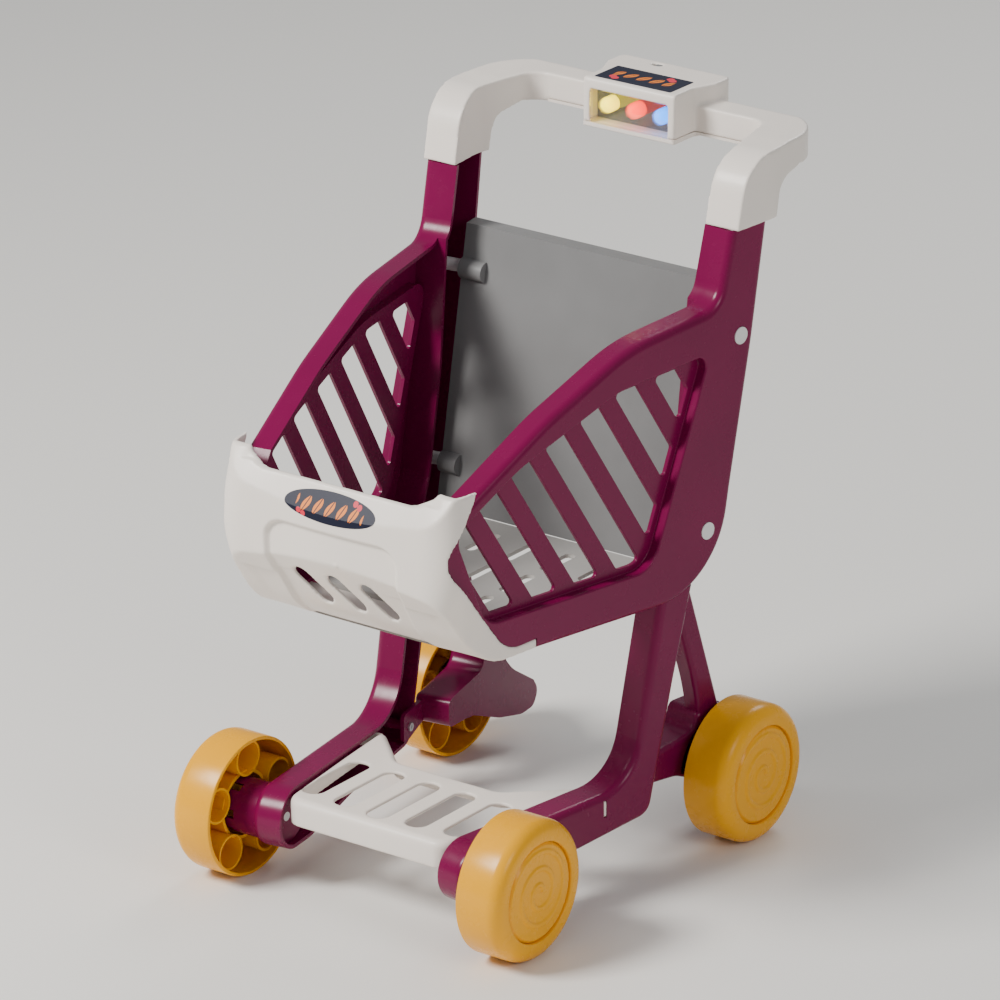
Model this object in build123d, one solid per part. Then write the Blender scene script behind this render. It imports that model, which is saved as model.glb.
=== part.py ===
from build123d import *
import os
from math import atan, cos, pi, sin, tan

# Toy shopping cart. Everything is drawn from a point on the floor midway between the two axle
# lines: +X to the cart's left-hand wall as one faces its nose, -Y to the nose, +Z up. The finished
# nodes are then moved along Y so that the origin lies under the middle of the bounding box.

# --- driving dimensions (mm) ---
wheelbase = 267.2
wheel_radius = 53.0
wheel_width = 36.4
front_standoff = 9.972       # from the side frame's outer face out to the front wheel's inner rim
rear_inset = 18.972          # from the same face in to the rear wheel's inner rim
nose_y = -186.6              # foremost point of the fascia
rear_y = 243.0               # rearmost point of the sound box
handle_top = 531.0
bar_height = 23.5
sleeve_reach = 53.0          # from the top of the handle down to the foot of its sleeves
box_rise = 14.0
cover_height = 3.5
window_drop = 7.2
half_width = 121.2           # outer face of a side frame at mid wheelbase
splay = 0.145                # how far a side frame leans out for each mm to the rear
post_depth = 27.0
ring_depth = 20.0
wall = 3.0
leg_setback = 3.0            # leg and rail lie this far inside the post and basket ring
strut_setback = 23.0
strut_depth = 15.0
foot_depth = 30.0
seam = 0.15                  # gap between two mouldings that butt
running_fit = 0.05
pocket_depth = 8.0
pocket_round = 1.5
slot_round = 0.8
slot_width = 20.0
slot_pitch = 41.7
slot_count = 7
peg_radius = 6.5
peg_spots = [(124, 397), (91, 255)]
screw_radius = 1.6
leg_screw_spots = [(74, 199), (31, 62)]
fascia_wall = 3.0
tray_top = 75.0
tray_wall = 3.0
tray_slot_width = 18.0
floor_top = 222.0
panel_wall = 3.0
panel_top = 430.0
handle_wall = 2.6
bar_front_y = 205.0
bar_rear_y = 233.0
box_front_y = 178.0
box_half_width = 41.0
box_flare = 49.0
axle_radius = 3.5
boss_radius = 21.0
hub_radius = 8.0
cap_radius = 37.1
lobe_count = 5
lobe_radius = 12.5
rim_wall = 2.6
switch_travel = 3.0
switch_x = -12.5
switch_y = 233.5
window_width = 70.0
window_height = 25.4
board_y = 193.5
lamp_radius = 6.0
cover_half = 92.0
door_width = 58.0
door_length = 30.4
door_x = -11.5
door_y = 221.0
cell_radius = 7.1
cell_length = 50.0
cell_x = -15.0
speaker_x = 30.0
screw_posts = [(-76, 219, 1.3), (76, 219, 1.3), (14, 221, 1.1)]

# --- derived values ---
middle_y = (nose_y + rear_y) / 2
front_axle_y = -wheelbase / 2
rear_axle_y = wheelbase / 2
lean = atan(splay)
bar_bottom = handle_top - bar_height
sleeve_bottom = handle_top - sleeve_reach
box_top = handle_top + box_rise
parting_z = bar_bottom + cover_height
window_z = handle_top - window_drop
post_top = handle_top - 19


def run(*corners):
    """Closed face from (u, v, radius) corners, each rounded by a tangent arc.

    A radius of 0 leaves a corner sharp, and an arc takes at most the room that its neighbours
    leave on the two edges beside it.
    """
    count = len(corners)
    points = [Vector(u, v) for u, v, _ in corners]
    ahead = [(points[(i + 1) % count] - points[i]).normalized() for i in range(count)]
    length = [(points[(i + 1) % count] - points[i]).length for i in range(count)]
    slope = [tan((ahead[i - 1].get_angle(ahead[i])) * pi / 360) for i in range(count)]
    wanted = [corners[i][2] * slope[i] for i in range(count)]
    edges = []
    ends = []
    for i in range(count):
        before = max(length[i - 1] / 2, length[i - 1] - wanted[i - 1])
        after = max(length[i] / 2, length[i] - wanted[(i + 1) % count])
        reach = min(wanted[i], 0.999 * before, 0.999 * after)
        start = points[i] - ahead[i - 1] * reach
        end = points[i] + ahead[i] * reach
        radius = reach / slope[i]
        inward = (ahead[i] - ahead[i - 1]).normalized()
        middle = points[i] + inward * radius * ((1 + slope[i] ** 2) ** 0.5 - 1)
        if reach > 0:
            edges.append(ThreePointArc(start, middle, end))
        ends.append((start, end))
    for i in range(count):
        edges.append(Line(ends[i][1], ends[(i + 1) % count][0]))
    return make_face(edges)


def side_plane(depth=0.0):
    """Plane of the outer face of the +X side frame, moved inward by depth."""
    normal = Vector(cos(lean), -sin(lean), 0)
    start = Vector(half_width, 0, 0) - normal * depth
    return Plane(origin=start, x_dir=(sin(lean), cos(lean), 0), z_dir=normal)


def side_run(*corners):
    """Outline on the side frame, from (y, z, radius) corners."""
    return run(*[(y / cos(lean), z, r) for y, z, r in corners])


def slab(outline, near, far):
    """Solid of an outline on the side frame, between two depths below its outer face."""
    return extrude(side_plane(far) * outline, far - near)


def soften(solid, depth, radius, keep=lambda edge: True):
    """Round the edges that lie on the outer face at this depth."""
    plane = side_plane(depth)
    rim = [e for e in solid.edges() if abs(plane.to_local_coords(e.center()).Z) < 0.01]
    rim = [e for e in rim if abs(plane.to_local_coords(e @ 0.1).Z) < 0.01 and keep(e)]
    return fillet(rim, radius)


def at_side(y, depth=0.0):
    """X of the side frame's outer face at y, moved inward by depth."""
    return half_width + splay * y - depth / cos(lean)


def mirrored(shape):
    return mirror(shape, Plane.YZ)


# --- side frame ---
ring_outline = side_run(
    (157.8, post_top, 0), (138.4, 392, 300), (117, 284, 300), (103, 206, 70), (-84, 214, 0),
    (-84, 223, 0), (-114, 222, 28), (-177, 305, 20), (-150, 343, 0), (-75, 383, 200),
    (10, 417, 150), (101, 424, 20), (122.5, post_top, 0))
post_zone = side_run(
    (180, post_top + 8, 0), (180, 190, 0), (40, 190, 0), (68, 250, 20), (86, 330, 100), (97, 430, 10),
    (118, post_top + 8, 0))
post_outline = ring_outline & post_zone
leg_outline = side_run(
    (48, 215, 0), (81, 215, 0), (62, 146, 400), (37, 47, 14), (-50, 40, 150),
    (front_axle_y + 21.6, 29, 60), (front_axle_y - 24, 29, 23.9), (front_axle_y - 24, 77, 23.9),
    (18, 77, 40))
pocket_outline = side_run(
    (-134, 247, 20), (34, 241, 24), (92, 391, 8), (0, 387, 100), (-100, 356, 150),
    (-164, 323, 13))


def ring_solid():
    """Post and basket ring, rounded all along the outer face except beside the fascia."""
    block = slab(ring_outline, 0, ring_depth) + slab(post_outline, 0, post_depth)

    def free(edge):
        middle = edge.center()
        return not (middle.Y < -83 and middle.Z < 344) and middle.Z < post_top - 2
    return soften(block, 0, 6, free)


def leg_solid():
    """Leg, bottom rail and front end, set back a little from the ring."""
    block = slab(leg_outline, leg_setback, post_depth)
    return soften(block, leg_setback, 6, lambda edge: edge.center().Z < 214)


def slot_bands():
    """Slanted bands whose overlap with the pocket gives the slots."""
    bands = Sketch()
    lean_back = 33
    for i in range(slot_count):
        middle = (-142 + slot_pitch * i) / cos(lean)
        bands += Pos(middle, 300) * Rot(0, 0, lean_back) * Rectangle(slot_width, 260)
    return bands


def boss(axle_y, root_x, rim_x):
    """Castellated boss that enters the wheel and carries the axle."""
    end_x = rim_x + boss_reach
    start = Plane(origin=(root_x, axle_y, wheel_radius), z_dir=(1, 0, 0))
    body = extrude(start * Circle(boss_radius), end_x - root_x)
    recess = Plane(origin=(rim_x + 2, axle_y, wheel_radius), z_dir=(1, 0, 0))
    ring = Circle(boss_radius - 3) - Circle(axle_radius + 5)
    body -= extrude(recess * ring, boss_reach)
    for i in range(6):
        turn = Rot(0, 0, i * 60 + 30) * Pos(boss_radius, 0) * Rectangle(12, 7)
        body -= extrude(recess * turn, boss_reach)
    return body


boss_reach = 12.0
front_rim_x = at_side(front_axle_y) + front_standoff
rear_rim_x = at_side(rear_axle_y) - rear_inset
front_boss_root = at_side(front_axle_y, post_depth - 6)
rear_boss_root = at_side(rear_axle_y, strut_setback + wall + 2)


def bore(axle_y, root_x, rim_x):
    start = Plane(origin=(root_x - 1, axle_y, wheel_radius), z_dir=(1, 0, 0))
    return extrude(start * Circle(axle_radius), rim_x + boss_reach + 2 - root_x)


def beside(outline):
    """Test for edges that lie on an outline drawn on the outer face."""
    border = (side_plane() * outline).edges()
    return lambda edge: min(part.distance_to(edge.center()) for part in border) < 0.05


def side_frame():
    ring = ring_solid()
    leg = leg_solid()
    ring_cavity = offset(ring_outline, -wall) - post_outline
    post_cavity = offset(post_outline, -wall)
    leg_cavity = offset(leg_outline, -wall) - ring_outline
    body = ring + leg
    body -= slab(ring_cavity, wall, post_depth + 1)
    body -= slab(post_cavity, wall, post_depth + 1)
    body -= slab(leg_cavity, leg_setback + wall, post_depth + 1)
    body += slab(offset(pocket_outline, wall), wall, pocket_depth + wall)
    body -= slab(pocket_outline, -1, pocket_depth)
    body = soften(body, 0, pocket_round, beside(pocket_outline))
    slots = fillet((offset(pocket_outline, -5) & slot_bands()).vertices(), 3)
    body -= slab(slots, 0, ring_depth)
    body = soften(body, pocket_depth, slot_round)
    for y, z in peg_spots:
        hole = Pos(y / cos(lean), z) * Circle(peg_radius - 1.5 + seam)
        body -= slab(hole, -1, post_depth)
        seat = Pos(y / cos(lean), z) * Circle(peg_radius + seam)
        body -= slab(seat, -1, 1.6)
    tab = Pos(-11 / cos(lean), 66) * Rectangle(3 + 2 * seam, 13 + 2 * seam)
    body -= slab(tab, -1, post_depth)
    for y, z in leg_screw_spots:
        spot = Pos(y / cos(lean), z)
        body += slab(spot * Circle(4), leg_setback + 1, post_depth)
        body -= slab(spot * Circle(screw_radius), post_depth - 12, post_depth + 1)
    body += boss(front_axle_y, front_boss_root, front_rim_x)
    body -= bore(front_axle_y, front_boss_root, front_rim_x)
    socket = Pos(130, 135, sleeve_bottom - seam) * Box(
        60, 90, 60, align=(Align.CENTER, Align.CENTER, Align.MIN))
    return body - (socket - handle_hollow(seam))


# --- rear leg ---
foot_outline = side_run(
    (50, 80, 6), (50, 58, 6), (86, 55, 30), (rear_axle_y - 4.6, 36.5, 60),
    (rear_axle_y + 31.4, 26, 40), (rear_axle_y + 50.4, 26, 9), (rear_axle_y + 57.9, 37, 9),
    (rear_axle_y + 50.4, 47.5, 6), (rear_axle_y + 16.4, 69, 60), (rear_axle_y + 4.4, 82, 12),
    (rear_axle_y + 4.4, 100, 6), (rear_axle_y - 26.6, 100, 6), (rear_axle_y - 29.6, 86, 12))
tongue_outline = side_run((22, 74, 4), (22, 50, 4), (56, 61, 0), (56, 77, 0))
strut_outline = side_run(
    (76, 209.5, 0), (96, 209.5, 0), (rear_axle_y - 4.6, 104, 200), (rear_axle_y + 7.4, 62, 0),
    (rear_axle_y - 21.6, 62, 0), (rear_axle_y - 25.1, 111, 200))


def rear_leg():
    """Strut and foot behind the side frame, the foot hollow and open towards the wheel."""
    foot_near = strut_setback
    foot_far = strut_setback + foot_depth
    foot = soften(slab(foot_outline, foot_near, foot_far), foot_near, 4)
    strut_far = strut_setback + strut_depth
    strut = slab(strut_outline, foot_near, strut_far)
    strut = soften(strut, foot_near, 4, lambda edge: 63 < edge.center().Z < 209)
    body = foot + strut
    body -= slab(offset(foot_outline, -wall), foot_near + wall, foot_far - wall)
    body -= slab(offset(strut_outline, -wall) - foot_outline, foot_near + wall, foot_far)
    envelope = offset(ring_outline, 0.3) + offset(leg_outline, 0.3)
    body -= slab(envelope, -1, post_depth + seam)
    pad = ((strut_outline + foot_outline) & (ring_outline + leg_outline)) + tongue_outline
    body += slab(pad, post_depth + seam, post_depth + seam + wall)
    for y, z in leg_screw_spots:
        hole = Pos(y / cos(lean), z) * Circle(screw_radius + seam)
        body -= slab(hole, post_depth, post_depth + 6)
    wheel_side = Pos(rear_rim_x - 1.5, rear_axle_y, 0)
    body -= wheel_side * Box(40, 200, 300, align=(Align.MIN, Align.CENTER, Align.CENTER))
    plate = wheel_side * Box(wall, 200, 300, align=(Align.MAX, Align.CENTER, Align.CENTER))
    body += plate & slab(foot_outline, foot_near, foot_far)
    behind_wheel = Pos(rear_axle_y / cos(lean), wheel_radius) * (
        Circle(wheel_radius - 8) - Circle(boss_radius + 4))
    body -= slab(offset(foot_outline, -wall) & behind_wheel, -20, foot_near + wall + 6)
    tube_root = at_side(rear_axle_y, foot_far - wall / 2)
    tube = Plane(origin=(tube_root, rear_axle_y, wheel_radius), z_dir=(1, 0, 0))
    body += boss(rear_axle_y, rear_boss_root, rear_rim_x)
    body += extrude(tube * Circle(axle_radius + wall), rear_rim_x - tube_root)
    body -= bore(rear_axle_y, rear_boss_root, rear_rim_x)
    return body


# --- fascia ---
nose_profile = run(
    (-84, 216, 0), (-84, 222, 0), (-96, 250, 0), (-96, 352, 0), (-166, 352, 3),
    (-188.5, 316, 24), (-187, 288, 34), (-152, 232, 60), (-128, 216, 34))
nose_hollow = run(
    (-80, 219, 0), (-80, 360, 0), (-157, 360, 0), (-185.4, 315.4, 21), (-184.1, 288.8, 31),
    (-149.8, 234, 57), (-127, 219, 31))


def nose_plan(inset):
    """Plan of the fascia: follows the splayed frames and rounds the front corners."""
    front = nose_y + inset
    rear = -70
    wide_rear = at_side(rear) - inset
    wide_front = at_side(front + 20) - inset
    return run(
        (wide_rear, rear, 0.5), (wide_front, front + 9, 30), (0, front - 1.5, 600),
        (-wide_front, front + 9, 30), (-wide_rear, rear, 0.5))


def nose_solid():
    body = extrude(Plane.YZ * nose_profile, 150, both=True)
    return body & extrude(Pos(0, 0, 200) * nose_plan(0), 160)


def front_fascia():
    """Nose of the basket, wrapped round the front of both ring frames."""
    inner = extrude(Plane.YZ * nose_hollow, 150, both=True)
    inner &= extrude(Pos(0, 0, 200) * nose_plan(fascia_wall), 170)
    body = nose_solid() - inner
    side = slab(offset(ring_outline, seam), -5, ring_depth + seam)
    deeper = slab(offset(ring_outline, 0.5), ring_depth - 1, 70)
    for cut in (side, deeper):
        body -= cut
        body -= mirrored(cut)
    scoop = run(
        (-75, 400, 0), (-82, 349, 4), (-66, 341, 25), (66, 341, 25), (82, 349, 4), (75, 400, 0))
    body -= extrude(Plane.XZ * scoop, 400, both=True)
    for x in (-29.5, 0, 29.5):
        slot = Pos(x, 257) * Rot(0, 0, 35) * SlotOverall(34, 12.5, 90)
        body -= extrude(Plane.XZ.offset(120) * slot, 90)
    return body


# --- basket floor, back panel and pegs ---
def basket_floor():
    """Floor of the basket with a rolled edge, between the ring flanges and the posts."""
    beside_ring = ring_depth + 0.3
    beside_post = post_depth + 0.3
    rear, step, front = panel_frame(floor_top) - seam, 46, -83.5
    edge = [(at_side(rear, beside_post), rear, 6), (at_side(step, beside_post), step, 1),
            (at_side(step - 3, beside_ring), step - 3, 1), (at_side(front, beside_ring), front, 1)]
    plan = run(*edge, *[(-x, y, r) for x, y, r in reversed(edge)])
    body = extrude(Pos(0, 0, floor_top - 12) * plan, 12)
    body -= extrude(Pos(0, 0, floor_top - 13) * offset(plan, -panel_wall), 13 - panel_wall)
    for i in range(5):
        for j in range(3):
            slot = Pos((i - 2) * 34, -56 + j * 50) * SlotOverall(38, 9, 90)
            body -= extrude(Pos(0, 0, floor_top - 5) * slot, 6)
    return body


def panel_frame(z):
    """Y of the back panel's rear face at height z."""
    return 91 + (z - 255) * 33 / 142


def basket_back():
    """Leaning rear panel with a rolled top rim."""
    low, high = floor_top + 0.5, panel_top
    half = at_side(100, post_depth + 0.5)
    y_low, y_high = panel_frame(low), panel_frame(high)
    profile = Polyline((y_low, low), (y_high, high), (y_high + 14, high), (y_high + 14, high - 8),
                       (y_high + 11, high - 8), (y_high + 11, high - 3), (y_high + 2.5, high - 3),
                       (y_low + 3.1, low), close=True)
    body = extrude(Plane.YZ * make_face(profile), half + 20, both=True)
    for y, z in peg_spots:
        ear = Plane(origin=(half - 18, y + 1, z), z_dir=(1, 0, 0)) * Circle(8)
        lug = extrude(ear, 38)
        body += lug
        body += mirrored(lug)
    beyond = slab(Rectangle(900, 1200), -80, post_depth + 0.3)
    body -= beyond
    body -= mirrored(beyond)
    for y, z in peg_spots:
        hole = slab(Pos(y / cos(lean), z) * Circle(peg_radius - 1.5 + seam), 10, 39 + seam)
        body -= hole
        body -= mirrored(hole)
    return body


def panel_pegs():
    """Four pegs through the posts into the lugs of the back panel."""
    pegs = []
    for y, z in peg_spots:
        spot = Pos(y / cos(lean), z)
        peg = slab(spot * Circle(peg_radius), -0.6, 1.5)
        peg += slab(spot * Circle(peg_radius - 1.5), 0, 39)
        pegs += [peg, mirrored(peg)]
    return Compound(pegs)


# --- lower tray ---
def tray_half(y):
    return at_side(y, post_depth + 0.3)


def lower_tray():
    """Slotted tray with a rolled front lip, between the two bottom rails."""
    front = -146
    edge = [(tray_half(0) - 1, 0, 4), (tray_half(-60), -60, 2), (tray_half(front), front, 14)]
    hollow = [(-46, -44, 14), (46, -44, 14)]
    plan = run(*edge, *[(-x, y, r) for x, y, r in reversed(edge)], *hollow)
    body = extrude(Pos(0, 0, tray_top - 14) * plan, 14)
    front_edges = [e for e in body.edges() if e.center().Y < front + 1 and e.center().Z > tray_top - 1]
    body = fillet(front_edges, 6)
    body -= extrude(Pos(0, 0, tray_top - 15) * offset(plan, -tray_wall), 15 - tray_wall)
    for i in range(5):
        shift = i - 2
        long = 76 - 3.5 * abs(shift)
        slot = Pos(shift * 32.2, -61 - long / 2) * SlotOverall(long, tray_slot_width, 90)
        body -= extrude(Pos(0, 0, tray_top - 5) * slot, 6)
    tab = slab(Pos(-11 / cos(lean), 66) * Rectangle(3, 13), leg_setback, post_depth + 4)
    return body + tab + mirrored(tab)


# --- handle ---
handle_side = run(
    (116.3, sleeve_bottom, 0), (127, handle_top - 2, 34), (175, handle_top, 60),
    (bar_rear_y, handle_top, 7), (bar_rear_y, bar_bottom, 6), (192, bar_bottom + 2, 5),
    (166, bar_bottom - 4, 14), (161, sleeve_bottom, 0))
handle_side_hollow = run(
    (118.3, sleeve_bottom - 3, 0), (129.5, handle_top - 4.6, 32),
    (175, handle_top - handle_wall, 58), (bar_rear_y - handle_wall, handle_top - handle_wall, 4.5),
    (bar_rear_y - handle_wall, bar_bottom + handle_wall, 4),
    (192, bar_bottom + 2 + handle_wall, 3), (163.6, bar_bottom - 2, 11),
    (152.8, sleeve_bottom - 3, 0))


def handle_plan(inset):
    """U-shaped plan of the handle, opening to the nose."""
    outer = [(139.7 - inset, 100, 0.5), (145.2 - inset, 158, 60), (140 - inset, bar_rear_y - inset + 1, 46)]
    inner = [(103 + inset, bar_front_y + inset, 16 + inset), (115.5 + inset, 150, 40),
             (109.8 + inset, 100, 0.5)]
    half = outer + [(-x, y, r) for x, y, r in reversed(outer)]
    back = [(-x, y, r) for x, y, r in reversed(inner)] + inner
    return run(*half, *back)


def handle_solid():
    tall = extrude(Pos(0, 0, sleeve_bottom) * handle_plan(0), 70)
    return tall & extrude(Plane.YZ * handle_side, 160, both=True)


def handle_hollow(extra=0.0):
    tall = extrude(Pos(0, 0, sleeve_bottom - 4) * handle_plan(handle_wall + extra), 80)
    return tall & extrude(Plane.YZ * handle_side_hollow, 160, both=True)


# --- sound and light box ---
def box_side(grow):
    """Side profile of the box, larger all round by grow."""
    return run(
        (box_front_y - grow, bar_bottom - grow, 1), (box_front_y + 1 - grow, box_top + grow, 3),
        (rear_y + grow, box_top + grow, 4), (rear_y + grow, bar_bottom - grow, 5))


def box_plan(inset):
    edge = [(box_half_width - inset, box_front_y + inset, 2.5), (box_half_width - inset, 202, 8),
            (box_flare - inset, 222, 8), (box_flare - inset, rear_y - inset, 9)]
    return run(*edge, *[(-x, y, r) for x, y, r in reversed(edge)])


def box_solid(inset):
    body = extrude(Pos(0, 0, bar_bottom - 5) * box_plan(inset), 60)
    return body & extrude(Plane.YZ * box_side(-inset), 100, both=True)


def grip_walls():
    """Walls of the whole handle with its sound box, before it is parted."""
    return handle_solid() + box_solid(0) - handle_hollow() - box_solid(handle_wall)


def below_parting(gap):
    """Block under the parting face of the bar and box, between the two sleeves."""
    return Pos(0, 170, parting_z - gap) * Box(
        2 * cover_half - 2 * gap, 80, 30, align=(Align.CENTER, Align.MIN, Align.MAX))


def handle_shell():
    """Upper moulding: both sleeves, the bar and the sound box, with the window and switch slot."""
    body = grip_walls() - below_parting(0)
    window = Pos(0, window_z) * RectangleRounded(window_width, window_height, 2)
    body -= extrude(Plane.XZ.offset(-box_front_y - 8) * window, 30)
    body -= Pos(switch_x, switch_y, box_top) * Box(switch_travel + 5.6, 4.2, 12)
    for x, y, radius in screw_posts:
        post = Pos(x, y, parting_z + seam + 20) * Cylinder(radius + 1.8, 40)
        post -= Pos(x, y, parting_z + 4) * Cylinder(radius, 12)
        body += post & (handle_solid() + box_solid(0))
    return body


def handle_cover():
    """Lower moulding that closes the bar and the box, with the opening of the battery door."""
    body = grip_walls() & below_parting(seam)
    door = Box(door_width + 2 * seam, door_length + 2 * seam, 12)
    body -= Pos(door_x, door_y, bar_bottom) * door
    for x, y, radius in screw_posts[:2]:
        body -= Pos(x, y, bar_bottom) * Cylinder(radius + seam, 12)
        body -= Pos(x, y, bar_bottom) * Cylinder(2 * radius + seam, 2)
    for i in range(6):
        spot = Rot(0, 0, i * 60) * Pos(6, 0, 0)
        body -= Pos(speaker_x, door_y, bar_bottom) * spot * Cylinder(1.2, 12)
    return body


def battery_door():
    """Door under the cells, with a counterbored hole for its screw."""
    body = Pos(door_x, door_y, bar_bottom + handle_wall / 2) * Box(door_width, door_length, handle_wall)
    x, y, radius = screw_posts[2]
    body -= Pos(x, y, bar_bottom) * Cylinder(radius + seam, 12)
    return body - Pos(x, y, bar_bottom) * Cylinder(2 * radius + seam, 2)


def light_window():
    """Clear window set in the front opening."""
    outline = RectangleRounded(window_width - 2 * seam, window_height - 2 * seam, 2)
    return extrude(Plane.XZ.offset(-box_front_y - 2.4) * (Pos(0, window_z) * outline), 1.6)


def lamp(x):
    """Round lamp on a short base, lying along Y behind the window."""
    base = Plane.XZ.offset(-board_y) * (Pos(x, window_z) * Circle(lamp_radius))
    return extrude(base, lamp_radius) + Pos(x, board_y - lamp_radius, window_z) * Sphere(lamp_radius)


def circuit_board():
    low = bar_bottom + handle_wall + 0.3
    width = 2 * (box_half_width - handle_wall - 0.3)
    return Pos(0, board_y, low) * Box(width, 1.6, 26, align=(Align.CENTER, Align.MIN, Align.MIN))


def speaker():
    low = bar_bottom + handle_wall + 0.3
    return Pos(speaker_x, door_y, low + 5) * Cylinder(11, 10)


def batteries():
    cells = []
    level = bar_bottom + handle_wall + 0.3 + cell_radius
    for side in (-1, 1):
        cell = Rot(0, 90, 0) * Cylinder(cell_radius, cell_length)
        cells.append(Pos(cell_x, door_y + side * (cell_radius + 0.4), level) * cell)
    return Compound(cells)


def power_switch():
    """Slide knob in the slot at the rear of the box top, held from below by a wider foot."""
    x = switch_x + switch_travel / 2
    knob = Pos(x, switch_y, box_top - 7) * Box(5, 3.6, 6.5, align=(Align.CENTER, Align.CENTER, Align.MIN))
    foot = Pos(x, switch_y, box_top - 7) * Box(12, 5.2, 1.2, align=(Align.CENTER, Align.CENTER, Align.MIN))
    return knob + foot


def box_sticker():
    return extrude(Pos(0, box_front_y + 20.5, box_top) * RectangleRounded(68, 30, 1), 0.3)


def front_sticker():
    """Oval sticker on the upper part of the nose."""
    oval = Pos(0, 327) * Ellipse(40, 10.6)
    return extrude(Plane.XZ * oval, 250) & (Pos(0, -0.3, 0.1) * nose_solid()) - nose_solid()


# --- wheels ---
def wheel_section():
    """Half section of the wheel, x outward from the inner rim, y the radius."""
    web_out = wheel_width - 5
    web_in = web_out - rim_wall
    corner = 9.8
    inner_corner = corner - rim_wall
    tread = wheel_width - corner
    return make_face(
        Polyline((0, wheel_radius - rim_wall), (0, wheel_radius), (tread, wheel_radius))
        + RadiusArc((tread, wheel_radius), (wheel_width, wheel_radius - corner), corner)
        + Polyline(
            (wheel_width, wheel_radius - corner), (wheel_width, cap_radius + 0.6),
            (web_out, cap_radius + 0.6), (web_out, axle_radius + running_fit),
            (boss_reach + 0.3, axle_radius + running_fit), (boss_reach + 0.3, hub_radius),
            (web_in, hub_radius), (web_in, boss_radius + 3), (boss_reach - 4, boss_radius + 3),
            (boss_reach - 4, boss_radius + 5.5), (web_in, boss_radius + 5.5),
            (web_in, wheel_radius - corner))
        + RadiusArc((web_in, wheel_radius - corner), (tread, wheel_radius - rim_wall), -inner_corner)
        + Line((tread, wheel_radius - rim_wall), (0, wheel_radius - rim_wall)))


def wheel(axle_y, rim_x):
    """Amber wheel: tread, web, hub, ring round the boss and five cup walls inside."""
    place = Pos(rim_x, axle_y, wheel_radius)
    section = Plane.XZ * wheel_section()
    body = revolve(section, Axis.X)
    web_in = wheel_width - 5 - rim_wall
    inside = Plane(origin=(4, 0, 0), z_dir=(1, 0, 0))
    zone = Circle(wheel_radius - rim_wall + 0.5) - Circle(boss_radius + 4)
    cups = Sketch()
    for i in range(lobe_count):
        spot = Rot(0, 0, i * 360 / lobe_count + 18) * Pos(boss_radius + 4.5 + lobe_radius, 0)
        cups += spot * (Circle(lobe_radius) - Circle(lobe_radius - 2))
    body += extrude(inside * (cups & zone), web_in - 3.5)
    for i in range(lobe_count):
        spot = Rot(0, 0, i * 360 / lobe_count + 18) * Pos(boss_radius + 4.5 + lobe_radius, 0)
        body -= extrude(Plane.YZ * spot * Circle(2.2), web_in + 1.4)
    return place * body


def spiral(turns, start, pitch, width):
    """Flat spiral band, its radius growing by pitch each turn."""
    steps = int(14 * turns)
    angles = [2 * pi * turns * i / steps for i in range(steps + 1)]

    def edge(shift):
        radii = [start + shift + pitch * a / (2 * pi) for a in angles]
        return Spline(*[(r * cos(a), r * sin(a)) for r, a in zip(radii, angles)])
    inner = edge(0)
    outer = edge(width)
    return make_face(inner + Line(inner @ 1, outer @ 1) + outer + Line(outer @ 0, inner @ 0))


def hub_cap(axle_y, rim_x):
    """Disc with a raised spiral that covers the end of the axle."""
    seat = rim_x + wheel_width - 5
    start = Plane(origin=(seat, axle_y, wheel_radius), z_dir=(1, 0, 0))
    body = extrude(start * Circle(cap_radius), 4.6)
    body -= extrude(start * Circle(cap_radius - 3), 2.8)
    face = Plane(origin=(seat + 4.6, axle_y, wheel_radius), z_dir=(1, 0, 0))
    body += extrude(face * spiral(2.5, 5, 9.5, 3.2), 0.7)
    body += extrude(face * Circle(2.6), 0.7)
    return body


def axle(axle_y, root_x, rim_x):
    """Steel stub axle, fixed in the boss and running in the hub."""
    start = Plane(origin=(root_x, axle_y, wheel_radius), z_dir=(1, 0, 0))
    return extrude(start * Circle(axle_radius), rim_x + wheel_width - 5 + 2.4 - root_x)


def axle_cap(axle_y, rim_x):
    """Push-on cap that keeps the wheel on its axle."""
    near = rim_x + wheel_width - 5 + 0.3
    start = Plane(origin=(near, axle_y, wheel_radius), z_dir=(1, 0, 0))
    return extrude(start * (Circle(7) - Circle(axle_radius)), 1.8)


# --- screws ---
def screw(place, length, radius):
    """Pan head screw, its head above the place's plane and its shank below."""
    body = Pos(0, 0, 0.8) * Cylinder(2 * radius, 1.6)
    body += Pos(0, 0, -length / 2) * Cylinder(radius, length)
    body -= Pos(0, 0, 1.4) * (Box(2.6 * radius, 0.6, 0.8) + Box(0.6, 2.6 * radius, 0.8))
    return place * body


def leg_screws():
    """Screws through each rear leg's pads into the posts moulded in the side frame."""
    plane = side_plane(post_depth + seam + wall)
    screws = []
    for y, z in leg_screw_spots:
        spot = plane.from_local_coords((y / cos(lean), z, 0))
        one = screw(Plane(origin=spot, z_dir=-plane.z_dir).location, 9, screw_radius)
        screws += [one, mirrored(one)]
    return Compound(screws)


def handle_screws():
    """Screws up through the cover into the bar."""
    screws = []
    for x, y, radius in screw_posts[:2]:
        screws.append(screw(Pos(x, y, bar_bottom + 1) * Rot(180, 0, 0), 8, radius))
    return Compound(screws)


def door_screw():
    x, y, radius = screw_posts[2]
    return screw(Pos(x, y, bar_bottom + 1) * Rot(180, 0, 0), 7, radius)


# --- assembly ---
nodes = {}


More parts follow.
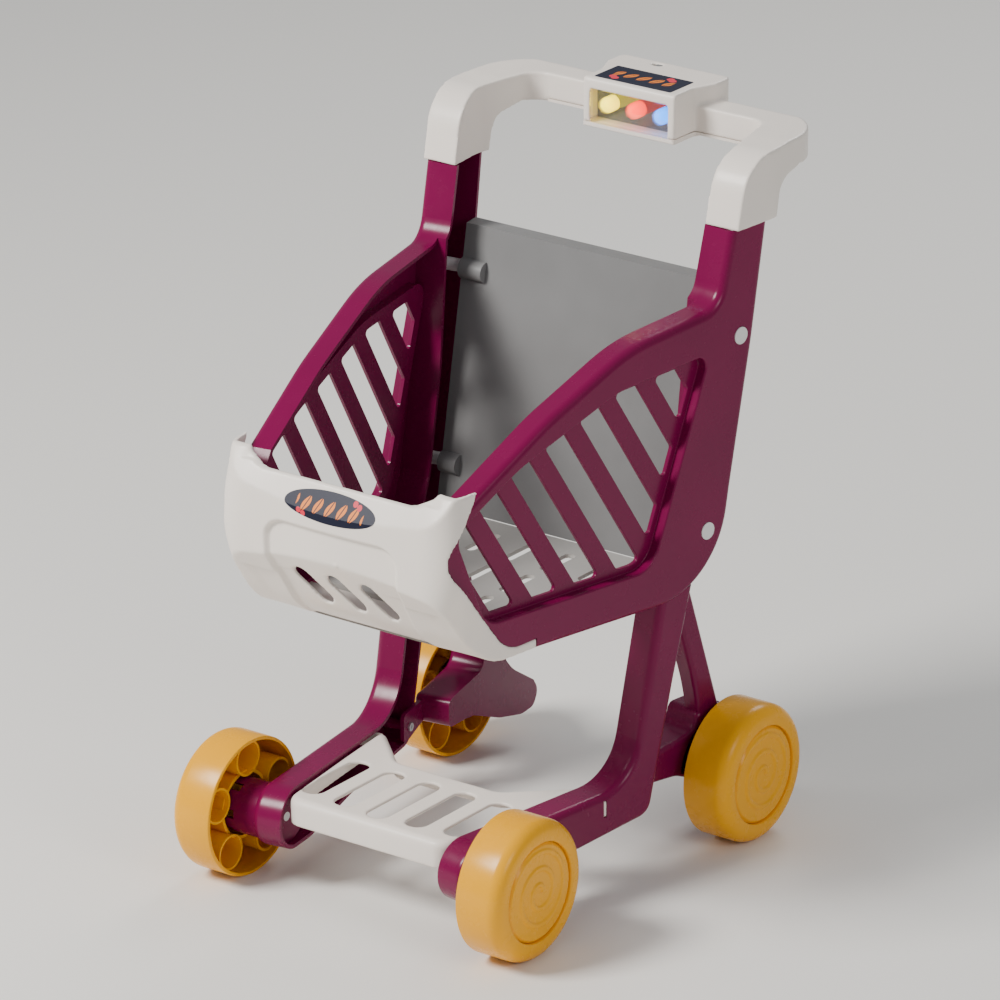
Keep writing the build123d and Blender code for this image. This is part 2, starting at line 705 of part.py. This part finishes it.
def build():
    nodes["side_frame_right"] = side_frame()
    nodes["side_frame_left"] = mirrored(nodes["side_frame_right"])
    nodes["rear_leg_right"] = rear_leg()
    nodes["rear_leg_left"] = mirrored(nodes["rear_leg_right"])
    nodes["front_fascia"] = front_fascia()
    nodes["basket_floor"] = basket_floor()
    nodes["basket_back"] = basket_back()
    nodes["panel_pegs"] = panel_pegs()
    nodes["lower_tray"] = lower_tray()
    nodes["handle_shell"] = handle_shell()
    nodes["handle_cover"] = handle_cover()
    nodes["battery_door"] = battery_door()
    nodes["light_window"] = light_window()
    nodes["lamp_yellow"] = lamp(-24)
    nodes["lamp_red"] = lamp(0)
    nodes["lamp_blue"] = lamp(24)
    nodes["circuit_board"] = circuit_board()
    nodes["speaker"] = speaker()
    nodes["batteries"] = batteries()
    nodes["power_switch"] = power_switch()
    nodes["box_sticker"] = box_sticker()
    nodes["front_sticker"] = front_sticker()
    nodes["leg_screws"] = leg_screws()
    nodes["handle_screws"] = handle_screws()
    nodes["door_screw"] = door_screw()
    corners = [("front", front_axle_y, front_boss_root, front_rim_x),
               ("rear", rear_axle_y, rear_boss_root, rear_rim_x)]
    for end, y, root, rim in corners:
        pieces = {
            "wheel": wheel(y, rim), "hub_cap": hub_cap(y, rim),
            "axle": axle(y, root, rim), "axle_cap": axle_cap(y, rim)}
        for name, piece in pieces.items():
            nodes[f"{name}_{end}_right"] = piece
            nodes[f"{name}_{end}_left"] = mirrored(piece)


build()
os.makedirs("parts", exist_ok=True)
for name, shape in nodes.items():
    export_step(Pos(0, -middle_y, 0) * shape, f"parts/{name}.step")
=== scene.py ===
from math import atan2, cos, exp, hypot, pi, radians, sin

import bmesh
import bpy
from mathutils import Matrix, Vector


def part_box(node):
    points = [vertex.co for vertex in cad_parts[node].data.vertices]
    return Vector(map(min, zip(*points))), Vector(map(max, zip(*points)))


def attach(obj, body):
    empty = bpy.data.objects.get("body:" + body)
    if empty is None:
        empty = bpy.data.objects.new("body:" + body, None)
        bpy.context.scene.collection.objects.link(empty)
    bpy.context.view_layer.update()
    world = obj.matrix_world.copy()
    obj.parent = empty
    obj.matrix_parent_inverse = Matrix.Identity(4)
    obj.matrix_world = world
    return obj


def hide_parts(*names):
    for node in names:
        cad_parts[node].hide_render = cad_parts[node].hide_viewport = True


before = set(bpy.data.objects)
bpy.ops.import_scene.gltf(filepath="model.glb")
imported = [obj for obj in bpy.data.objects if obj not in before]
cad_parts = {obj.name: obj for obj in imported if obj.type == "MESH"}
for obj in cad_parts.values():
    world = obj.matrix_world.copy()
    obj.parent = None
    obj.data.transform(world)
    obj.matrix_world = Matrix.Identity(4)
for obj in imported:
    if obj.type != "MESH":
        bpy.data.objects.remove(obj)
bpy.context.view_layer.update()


# --- Side frames and rear legs ---
# The two big injection mouldings in plum ABS, each with its post, slotted basket side, leg and
# bottom rail, and the struts with their feet screwed on behind them. They have a soft gloss.
def moulded_plastic(name, colour, roughness, mottle=0.06, coat=0.0):
    """Moulded plastic: faint flow marks in the colour, rubbed patches and a fine grain."""
    material = bpy.data.materials.new(name)
    material.use_nodes = True
    nodes, links = material.node_tree.nodes, material.node_tree.links
    shader = nodes["Principled BSDF"]
    shader.inputs["Specular IOR Level"].default_value = 0.25
    shader.inputs["Coat Weight"].default_value = coat
    shader.inputs["Coat Roughness"].default_value = 0.12
    place = nodes.new("ShaderNodeTexCoord")
    flow = nodes.new("ShaderNodeTexNoise")
    flow.inputs["Scale"].default_value = 14
    flow.inputs["Detail"].default_value = 5
    tint = nodes.new("ShaderNodeValToRGB")
    dark, light = tint.color_ramp.elements
    dark.position, light.position = 0.3, 0.7
    dark.color = (*[c * (1 - mottle) for c in colour], 1)
    light.color = (*[min(1, c * (1 + mottle)) for c in colour], 1)
    rubbed = nodes.new("ShaderNodeTexNoise")
    rubbed.inputs["Scale"].default_value = 55
    rubbed.inputs["Detail"].default_value = 3
    rubbed.inputs["Roughness"].default_value = 0.7
    gloss = nodes.new("ShaderNodeMapRange")
    gloss.inputs["From Min"].default_value = 0.3
    gloss.inputs["From Max"].default_value = 0.7
    gloss.inputs["To Min"].default_value = roughness * 0.85
    gloss.inputs["To Max"].default_value = roughness * 1.2
    skin = nodes.new("ShaderNodeTexNoise")
    skin.inputs["Scale"].default_value = 900
    skin.inputs["Detail"].default_value = 2
    bump = nodes.new("ShaderNodeBump")
    bump.inputs["Strength"].default_value = 0.07
    bump.inputs["Distance"].default_value = 0.00004
    for texture in (flow, rubbed, skin):
        links.new(place.outputs["Object"], texture.inputs["Vector"])
    links.new(flow.outputs["Fac"], tint.inputs["Fac"])
    links.new(tint.outputs["Color"], shader.inputs["Base Color"])
    links.new(rubbed.outputs["Fac"], gloss.inputs["Value"])
    links.new(gloss.outputs["Result"], shader.inputs["Roughness"])
    links.new(skin.outputs["Fac"], bump.inputs["Height"])
    links.new(bump.outputs["Normal"], shader.inputs["Normal"])
    return material


def dress(material, *names):
    """Give CAD nodes a finish."""
    for name in names:
        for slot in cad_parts[name].material_slots:
            slot.material = material


plum = moulded_plastic("plum_abs", (0.165, 0.001, 0.05), 0.25)
dress(plum, "side_frame_right", "side_frame_left", "rear_leg_right", "rear_leg_left")


# --- Basket floor, back panel and pegs ---
# The slotted floor is a light grey moulding. The leaning back panel is given a dark grey that is
# partly its own grey and partly painted shade from inside the basket. Four white pegs are pushed
# through the posts into the lugs of the panel.
# The back panel's dark grey is partly painted shade: its lighter plastic darkened as if in shadow.
panel_grey_with_painted_shade = moulded_plastic("panel_plastic", (0.20, 0.20, 0.20), 0.42)
floor_grey = moulded_plastic("floor_plastic", (0.42, 0.41, 0.39), 0.42, mottle=0.04)
peg_white = moulded_plastic("peg_plastic", (0.74, 0.73, 0.72), 0.28, mottle=0.03)
dress(floor_grey, "basket_floor")
dress(panel_grey_with_painted_shade, "basket_back")
dress(peg_white, "panel_pegs")


# --- Front fascia ---
# The cream nose of the basket, one thin moulding that wraps round the front of both frames and
# clips on. A shallow panel is sunk into its face around three slanted slots and a gate mark,
# its cheeks swell, and its chin and upper rear corners are drawn in.
edge_rounds = 3


def copy_of(node, name):
    """Copy of a CAD node's mesh as a new closed piece, its loose triangles joined."""
    piece = bpy.data.objects.new(name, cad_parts[node].data.copy())
    bpy.context.collection.objects.link(piece)
    shape = bmesh.new()
    shape.from_mesh(piece.data)
    bmesh.ops.remove_doubles(shape, verts=shape.verts, dist=0.000005)
    shape.to_mesh(piece.data)
    shape.free()
    return piece


def rolled(piece, voxel, rounds):
    """Round every edge of a thin moulding a little: a voxel skin, smoothed this many times."""
    remesh = piece.modifiers.new("skin", "REMESH")
    remesh.mode = "VOXEL"
    remesh.voxel_size = voxel
    remesh.use_smooth_shade = True
    view = bpy.context.evaluated_depsgraph_get()
    mesh = bpy.data.meshes.new_from_object(piece.evaluated_get(view))
    piece.modifiers.clear()
    shape = bmesh.new()
    shape.from_mesh(mesh)
    for _ in range(rounds):
        bmesh.ops.smooth_vert(shape, verts=shape.verts, factor=0.5, use_axis_x=True,
                              use_axis_y=True, use_axis_z=True)
    shape.to_mesh(mesh)
    shape.free()
    for face in mesh.polygons:
        face.use_smooth = True
    piece.data = mesh
    return piece


def finished(piece, material, body, slot, *nodes):
    """Give a new piece its finish and its body, and hide the CAD nodes that it stands for; slot is
    not used.
    """
    piece.data.materials.clear()
    piece.data.materials.append(material)
    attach(piece, body)
    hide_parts(*nodes)


def rounded_box_distance(u, v, half_u, half_v, corner):
    """How far (u, v) lies outside a rounded rectangle, negative inside it."""
    du, dv = abs(u) - half_u + corner, abs(v) - half_v + corner
    return hypot(max(du, 0), max(dv, 0)) + min(max(du, dv), 0) - corner


def ease(value):
    """Smooth step from 0 to 1, level at both ends."""
    value = min(1, max(0, value))
    return value * value * (3 - 2 * value)


def swell(away, reach):
    """Bell curve: 1 at the middle, fading over this reach."""
    return exp(-(away / reach) ** 2 / 2)


cream = moulded_plastic("cream_abs", (0.86, 0.79, 0.72), 0.36, mottle=0.02, coat=0.1)
fascia = rolled(copy_of("front_fascia", "fascia"), 0.00115, edge_rounds)
fascia_low, fascia_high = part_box("front_fascia")
panel_top = fascia_high.z - 0.042
panel_low = fascia_low.z - 0.02
panel_middle = (panel_top + panel_low) / 2
panel_tall = (panel_top - panel_low) / 2
panel_half, panel_corner = 0.0575, 0.016
panel_sink, panel_edge = 0.0036, 0.0034
face_depth = 0.055
gate_x, gate_z = 0.004, fascia_low.z + 0.069
gate_radius, gate_edge, gate_height = 0.0022, 0.001, 0.0006
cheek = Vector((0.089, fascia_low.y + 0.018, fascia_low.z + 0.084))
cheek_swell, cheek_round, cheek_tall = 0.0105, 0.021, 0.034
cheek_out, cheek_forward = 0.86, 0.45
flange_y = fascia_low.y + 0.014
flange_inside, flange_fade = 0.01, 0.008
chin_tuck, chin_drop, chin_fade, chin_lift = 0.005, 0.01, 0.06, 0.8
horn_start, horn_blunt = fascia_low.y + 0.034, 0.8
horn_drop, horn_fade = 0.034, 0.02

for vertex in fascia.data.vertices:
    place = vertex.co
    if place.y < fascia_low.y + face_depth:
        away = rounded_box_distance(place.x, place.z - panel_middle, panel_half, panel_tall,
                                    panel_corner)
        place.y += panel_sink * ease(-away / panel_edge)
        dot = hypot(place.x - gate_x, place.z - gate_z)
        place.y -= gate_height * ease((gate_radius - dot) / gate_edge)
    beside = 1 if place.x > 0 else -1
    corner = swell(hypot(abs(place.x) - cheek.x, place.y - cheek.y), cheek_round)
    bulge = cheek_swell * corner * swell(place.z - cheek.z, cheek_tall)
    if place.y > flange_y:
        bulge *= ease((abs(place.x) - cheek.x + flange_inside) / flange_fade)
    place.x += beside * cheek_out * bulge
    place.y -= cheek_forward * bulge
    tuck = chin_tuck * corner * ease((cheek.z - chin_drop - place.z) / chin_fade)
    place.x -= beside * tuck
    place.z += tuck * chin_lift
    upper = ease((place.z - fascia_high.z + horn_drop) / horn_fade)
    place.y -= horn_blunt * upper * max(0, place.y - horn_start)
    place.y = max(place.y, fascia_low.y)
finished(fascia, cream, "cart", "cream_plastic", "front_fascia")


# --- Front sticker ---
# An oval of printed film on the nose: navy, with an orange row of leaves and red berries. The
# print is made in the material, from each point's place across and up the film.
def printed_film(name, middle, up, leaf_pitch, band, half):
    """Navy film with a row of orange leaves and two pairs of red berries.

    The pattern lies in X and the axis named by up; band is half the height of a leaf.
    """
    material = bpy.data.materials.new(name)
    material.use_nodes = True
    nodes, links = material.node_tree.nodes, material.node_tree.links
    shader = nodes["Principled BSDF"]
    shader.inputs["Roughness"].default_value = 0.35
    shader.inputs["Specular IOR Level"].default_value = 0.2

    def calc(kind, first, second=None):
        node = nodes.new("ShaderNodeMath")
        node.operation = kind
        for i, value in enumerate((first, second)):
            if isinstance(value, (int, float)):
                node.inputs[i].default_value = value
            elif value is not None:
                links.new(value, node.inputs[i])
        return node.outputs[0]

    def layer(below, colour, mask):
        mix = nodes.new("ShaderNodeMix")
        mix.data_type = "RGBA"
        links.new(mask, mix.inputs[0])
        if isinstance(below, tuple):
            mix.inputs[6].default_value = (*below, 1)
        else:
            links.new(below, mix.inputs[6])
        mix.inputs[7].default_value = (*colour, 1)
        return mix.outputs[2]

    place = nodes.new("ShaderNodeTexCoord")
    axes = nodes.new("ShaderNodeSeparateXYZ")
    links.new(place.outputs["Object"], axes.inputs[0])
    across = calc("SUBTRACT", axes.outputs["X"], middle.x)
    rise = calc("SUBTRACT", axes.outputs[up], getattr(middle, up.lower()))
    count = calc("ADD", calc("DIVIDE", across, leaf_pitch), 0.5)
    step = calc("SUBTRACT", calc("FRACT", count), 0.5)
    slant = calc("ADD", calc("MULTIPLY", step, leaf_pitch), calc("MULTIPLY", rise, -0.45))
    wide = calc("DIVIDE", slant, leaf_pitch * 0.3)
    long = calc("DIVIDE", rise, band)
    leaf = calc("LESS_THAN", calc("ADD", calc("ABSOLUTE", wide), calc("MULTIPLY", long, long)), 1)
    vein = calc("GREATER_THAN", calc("ABSOLUTE", wide), 0.14)
    inside = calc("LESS_THAN", calc("ABSOLUTE", across), half.x * 0.74)
    leaves = calc("MULTIPLY", calc("MULTIPLY", leaf, vein), inside)

    def berry(x, z, radius):
        dx, dz = calc("SUBTRACT", across, x), calc("SUBTRACT", rise, z)
        square = calc("ADD", calc("MULTIPLY", dx, dx), calc("MULTIPLY", dz, dz))
        return calc("LESS_THAN", square, radius * radius)

    colour = layer((0.002, 0.004, 0.022), (0.85, 0.22, 0.01), leaves)
    for x, z in ((0.5, 0.66), (0.6, 0.5), (-0.66, -0.5), (-0.56, -0.66)):
        colour = layer(colour, (0.75, 0.03, 0.06), berry(x * half.x, z * half.y, half.y * 0.2))
    links.new(colour, shader.inputs["Base Color"])
    return material


sticker_low, sticker_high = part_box("front_sticker")
oval_film = printed_film("oval_film", (sticker_low + sticker_high) / 2, "Z", 0.0105, 0.0056,
                         Vector((0.04, 0.0106)))
dress(oval_film, "front_sticker")


# --- Lower tray ---
# A cream tray hung by tabs between the two bottom rails, its deck cut by long slots. The underside
# of its front lip is drawn down to deepen it.
tray = rolled(copy_of("lower_tray", "tray"), 0.0011, edge_rounds)
tray_low, tray_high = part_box("lower_tray")
lip_drop = 0.007
deck_depth, under_fade = 0.005, 0.008
lip_depth, lip_fade = 0.016, 0.006
for vertex in tray.data.vertices:
    place = vertex.co
    under = ease((tray_high.z - deck_depth - place.z) / under_fade)
    place.z -= lip_drop * under * ease((tray_low.y + lip_depth - place.y) / lip_fade)
finished(tray, cream, "cart", "cream_plastic", "lower_tray")


# --- Handle ---
# Two cream mouldings: the upper one runs from sleeve to sleeve over the posts, and carries the
# sound box. A flat cover closes the bar from below, so a dark parting line shows all round it.
handle = rolled(copy_of("handle_shell", "handle"), 0.0011, edge_rounds)
finished(handle, cream, "cart", "cream_plastic", "handle_shell")
dress(cream, "handle_cover", "battery_door")


# --- Sound and light box ---
# Behind a clear window three domed lamps stand on a green board, its green darkened almost to
# black as painted shade for the dark inside of the box. The box top has a film with leaves on it
# and a grey slide switch; the speaker and two cells lie inside.
lamp_glow = 3.5


def clear_window():
    """Thin clear styrene with a faint blue tint."""
    material = bpy.data.materials.new("clear_styrene")
    material.use_nodes = True
    shader = material.node_tree.nodes["Principled BSDF"]
    shader.inputs["Base Color"].default_value = (0.86, 0.94, 0.97, 1)
    shader.inputs["Roughness"].default_value = 0.04
    shader.inputs["IOR"].default_value = 1.5
    shader.inputs["Transmission Weight"].default_value = 1.0
    shader.inputs["Alpha"].default_value = 0.2
    return material


def lit_lamp(name, colour):
    """Tinted lens, lit from inside."""
    material = moulded_plastic(name, colour, 0.18, mottle=0.05)
    shader = material.node_tree.nodes["Principled BSDF"]
    shader.inputs["Emission Color"].default_value = (*colour, 1)
    shader.inputs["Emission Strength"].default_value = lamp_glow
    return material


dress(clear_window(), "light_window")
dress(lit_lamp("yellow_lens", (0.95, 0.75, 0.02)), "lamp_yellow")
dress(lit_lamp("red_lens", (0.95, 0.03, 0.01)), "lamp_red")
dress(lit_lamp("blue_lens", (0.01, 0.25, 0.95)), "lamp_blue")
# The board's green is darkened almost to black: painted shade for the dark inside of the box.
dress(moulded_plastic("solder_mask_painted_shade", (0.003, 0.02, 0.03), 0.35, mottle=0.3), "circuit_board")
dress(moulded_plastic("speaker_cone", (0.02, 0.02, 0.02), 0.7, mottle=0.3), "speaker")
dress(moulded_plastic("cell_sleeve", (0.03, 0.03, 0.035), 0.3, mottle=0.2), "batteries")
dress(moulded_plastic("switch_knob", (0.2, 0.2, 0.2), 0.5), "power_switch")
top_low, top_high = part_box("box_sticker")
top_film = printed_film("top_film", (top_low + top_high) / 2, "Y", 0.0115, 0.0065,
                        Vector((0.034, 0.015)))
dress(top_film, "box_sticker")


# --- Wheels ---
# Each wheel is one amber moulding, open to the inside: a plain tread with a rounded outer
# shoulder, a web, a hub, a ring round it and five round cup walls.
amber = moulded_plastic("amber_plastic", (0.86, 0.39, 0.0), 0.26, mottle=0.03)
spin_steps = 96
merge = 0.000002


def turned(shape, section):
    """Spin a closed (x, radius) section about the X axis into a ring."""
    corners = [shape.verts.new((x, 0, r)) for x, r in section]
    edges = [shape.edges.new((a, b)) for a, b in zip(corners, corners[1:] + corners[:1])]
    bmesh.ops.spin(shape, geom=corners + edges, cent=(0, 0, 0), axis=(1, 0, 0),
                   angle=2 * pi, steps=spin_steps, use_merge=True)
    bmesh.ops.remove_doubles(shape, verts=shape.verts, dist=merge)


def soften_ring(shape, x, radius, width, segments):
    """Bevel the ring edge that lies at this x and radius."""
    ring = [e for e in shape.edges if all(
        abs(v.co.x - x) < 5 * merge and abs(hypot(v.co.y, v.co.z) - radius) < 5 * merge
        for v in e.verts)]
    bmesh.ops.bevel(shape, geom=ring, offset=width, offset_type="OFFSET", segments=segments,
                    profile=0.5, affect="EDGES", material=-1)


def piece_from(shape, name, centre, side):
    """Make a piece of a shape drawn about the X axis, at a wheel centre, mirrored on the left."""
    bmesh.ops.scale(shape, vec=(side, 1, 1), verts=shape.verts)
    bmesh.ops.translate(shape, vec=centre, verts=shape.verts)
    bmesh.ops.recalc_face_normals(shape, faces=shape.faces)
    mesh = bpy.data.meshes.new(name)
    shape.to_mesh(mesh)
    shape.free()
    mesh.shade_smooth()
    mesh.set_sharp_from_angle(angle=radians(40))
    piece = bpy.data.objects.new(name, mesh)
    bpy.context.collection.objects.link(piece)
    return piece


wheel_low, wheel_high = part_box("wheel_front_right")
wheel_radius = (wheel_high.z - wheel_low.z) / 2
wheel_width = wheel_high.x - wheel_low.x
cap_low, cap_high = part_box("hub_cap_front_right")
cap_radius = (cap_high.z - cap_low.z) / 2
well_radius = cap_radius + 0.0006
web_outer = cap_low.x - wheel_low.x
rim_wall = 0.0026
web_inner = web_outer - rim_wall
rim_inner = wheel_radius - rim_wall
bore_radius = 0.0036
hub_radius = 0.008
hub_start = 0.0123
ring_inner, ring_outer, ring_start = 0.024, 0.0265, 0.008
cup_count, cup_radius, cup_circle, cup_start, cup_wall = 5, 0.0138, 0.0372, 0.004, 0.0018


def wheel_shape():
    """Wheel about the X axis, open towards zero, with its web and hub-cap well at the far end."""
    shape = bmesh.new()
    turned(shape, [
        (0, rim_inner), (0, wheel_radius), (wheel_width, wheel_radius),
        (wheel_width, well_radius), (web_outer, well_radius),
        (web_outer, bore_radius), (hub_start, bore_radius), (hub_start, hub_radius),
        (web_inner, hub_radius), (web_inner, ring_inner), (ring_start, ring_inner),
        (ring_start, ring_outer), (web_inner, ring_outer), (web_inner, rim_inner)])
    soften_ring(shape, wheel_width, wheel_radius, 0.0098, 10)
    soften_ring(shape, web_inner, rim_inner, 0.006, 5)
    soften_ring(shape, wheel_width, well_radius, 0.0012, 3)
    soften_ring(shape, 0, wheel_radius, 0.0008, 3)
    for i in range(cup_count):
        turn = Matrix.Rotation(2 * pi * i / cup_count + radians(18), 4, "X")
        seat = Matrix.Translation((cup_start, cup_circle, 0)) @ Matrix.Rotation(pi / 2, 4, "Y")
        cup = bmesh.ops.create_circle(shape, cap_ends=False, radius=cup_radius, segments=32,
                                      matrix=turn @ seat)["verts"]
        rim = list({e for v in cup for e in v.link_edges})
        wall = bmesh.ops.extrude_edge_only(shape, edges=rim)["geom"]
        deep = [g for g in wall if isinstance(g, bmesh.types.BMVert)]
        bmesh.ops.translate(shape, vec=(web_inner - cup_start, 0, 0), verts=deep)
        faces = [g for g in wall if isinstance(g, bmesh.types.BMFace)]
        bmesh.ops.recalc_face_normals(shape, faces=faces)
        bmesh.ops.solidify(shape, geom=faces, thickness=cup_wall)
    return shape


# --- Hub caps ---
# An amber disc pressed into the web of each wheel over the axle end, with a raised spiral of two
# and a half turns round its middle and a rounded rim.
spiral_start, spiral_pitch, spiral_turns = 0.003, 0.0125, 2.5
ridge_height, ridge_half, ridge_fade = 0.0011, 0.0026, 0.0016
rim_drop, rim_round = 0.0016, 0.0022
face_rings, face_steps = 64, 144


def spiral_rise(y, z):
    """Height of the spiral's rounded ridge above the disc at a point of its face."""
    radius, angle = hypot(y, z), atan2(z, y) % (2 * pi)
    turns = (radius - spiral_start) / spiral_pitch - angle / (2 * pi)
    nearest = round(turns)
    if nearest < 0 or nearest + angle / (2 * pi) > spiral_turns:
        return 0
    away = abs(turns - nearest) * spiral_pitch
    return ridge_height * ease((ridge_half - away) / ridge_fade)


def hub_cap_shape(thickness):
    """Disc about the X axis, its back at zero and the top of its ridge at this thickness."""
    shape = bmesh.new()
    face = thickness - ridge_height
    across = [cap_radius * i / face_rings for i in range(face_rings + 1)]
    section = [(face, r) for r in across] + [(0, cap_radius), (0, 0)]
    line = [shape.verts.new((x, 0, r)) for x, r in section]
    edges = [shape.edges.new((a, b)) for a, b in zip(line, line[1:])]
    bmesh.ops.spin(shape, geom=line + edges, cent=(0, 0, 0), axis=(1, 0, 0), angle=2 * pi,
                   steps=face_steps, use_merge=True)
    bmesh.ops.remove_doubles(shape, verts=shape.verts, dist=merge)
    for vertex in shape.verts:
        place = vertex.co
        if place.x > face / 2:
            from_rim = cap_radius - hypot(place.y, place.z)
            place.x += spiral_rise(place.y, place.z)
            place.x -= rim_drop * ease(1 - from_rim / rim_round)
    return shape


for end in ("front", "rear"):
    for hand, side in (("right", 1), ("left", -1)):
        body = f"wheel_{end}_{hand}"
        low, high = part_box(body)
        inner_x = low.x if side > 0 else high.x
        centre = Vector((inner_x, (low.y + high.y) / 2, (low.z + high.z) / 2))
        wheel = piece_from(wheel_shape(), f"{end}_{hand}_tyre", centre, side)
        finished(wheel, amber, body, "amber_plastic", body)
        cap_node = f"hub_cap_{end}_{hand}"
        cap_from, cap_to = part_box(cap_node)
        seat_x = cap_from.x if side > 0 else cap_to.x
        cap = piece_from(hub_cap_shape(cap_to.x - cap_from.x), f"{end}_{hand}_cap",
                         Vector((seat_x, centre.y, centre.z)), side)
        finished(cap, amber, body, "amber_plastic", cap_node)


# --- Axles and screws ---
# Stub axles with push-on caps, and the screws, all in zinc-plated steel that is a little uneven
# in its shine.
def plated_steel():
    """Zinc-plated steel, duller in places."""
    material = bpy.data.materials.new("zinc_plated_steel")
    material.use_nodes = True
    nodes, links = material.node_tree.nodes, material.node_tree.links
    shader = nodes["Principled BSDF"]
    shader.inputs["Base Color"].default_value = (0.6, 0.6, 0.62, 1)
    shader.inputs["Metallic"].default_value = 1.0
    place = nodes.new("ShaderNodeTexCoord")
    dull = nodes.new("ShaderNodeTexNoise")
    dull.inputs["Scale"].default_value = 400
    spread = nodes.new("ShaderNodeMapRange")
    spread.inputs["To Min"].default_value = 0.25
    spread.inputs["To Max"].default_value = 0.5
    links.new(place.outputs["Object"], dull.inputs["Vector"])
    links.new(dull.outputs["Fac"], spread.inputs["Value"])
    links.new(spread.outputs["Result"], shader.inputs["Roughness"])
    return material


steel_nodes = [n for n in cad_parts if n.startswith("axle") or "screw" in n]
dress(plated_steel(), *steel_nodes)


# --- Floor, light and camera ---
# A flat pale floor, a large soft light on the left, a fill on the right and a light behind. The
# camera is a long lens from the front right, fitted to the photograph.
def plain(name, colour, roughness):
    """One even finish, for the floor."""
    material = bpy.data.materials.new(name)
    material.use_nodes = True
    shader = material.node_tree.nodes["Principled BSDF"]
    shader.inputs["Base Color"].default_value = (*colour, 1)
    shader.inputs["Roughness"].default_value = roughness
    return material


ground = bmesh.new()
bmesh.ops.create_grid(ground, x_segments=1, y_segments=1, size=6)
floor_mesh = bpy.data.meshes.new("floor")
ground.to_mesh(floor_mesh)
ground.free()
floor = bpy.data.objects.new("floor", floor_mesh)
bpy.context.collection.objects.link(floor)
floor_mesh.materials.append(plain("pale_floor", (0.86, 0.84, 0.80), 0.6))

world = bpy.data.worlds.new("soft_room")
world.use_nodes = True
sky = world.node_tree.nodes["Background"]
sky.inputs["Color"].default_value = (0.93, 0.96, 1.0, 1)
sky.inputs["Strength"].default_value = 0.34
bpy.context.scene.world = world


light_aim = Vector((0, 0, 0.25))


def soft_light(name, place, power, size, colour=(1, 1, 1)):
    """Square area light at a place, aimed at the middle of the cart."""
    light = bpy.data.lights.new(name, "AREA")
    light.energy = power
    light.size = size
    light.color = colour
    lamp = bpy.data.objects.new(name, light)
    lamp.location = place
    aim = light_aim - Vector(place)
    lamp.rotation_euler = aim.to_track_quat("-Z", "Y").to_euler()
    bpy.context.collection.objects.link(lamp)


soft_light("key", (-1.1, -1.7, 2.0), 96, 0.8, (1, 0.98, 0.95))
soft_light("fill", (2.4, -0.6, 1.5), 15, 0.9)
soft_light("back", (-0.4, 2.2, 1.9), 20, 1.0)

turn, tilt, roll = radians(36.44), radians(21.271), radians(-0.148)
back = Vector((sin(turn) * cos(tilt), -cos(turn) * cos(tilt), sin(tilt)))
right = Vector((0, 0, 1)).cross(back).normalized()
up = back.cross(right)
level = right * cos(roll) + up * sin(roll)
upright = up * cos(roll) - right * sin(roll)
pose = Matrix((level, upright, back)).transposed().to_4x4()
pose.translation = Vector((2.8383, -3.8527, 2.1309))
lens = bpy.data.cameras.new("camera")
lens.lens = 253.8
lens.sensor_width = 36
lens.clip_end = 50
camera = bpy.data.objects.new("camera", lens)
camera.matrix_world = pose
bpy.context.collection.objects.link(camera)
bpy.context.scene.camera = camera
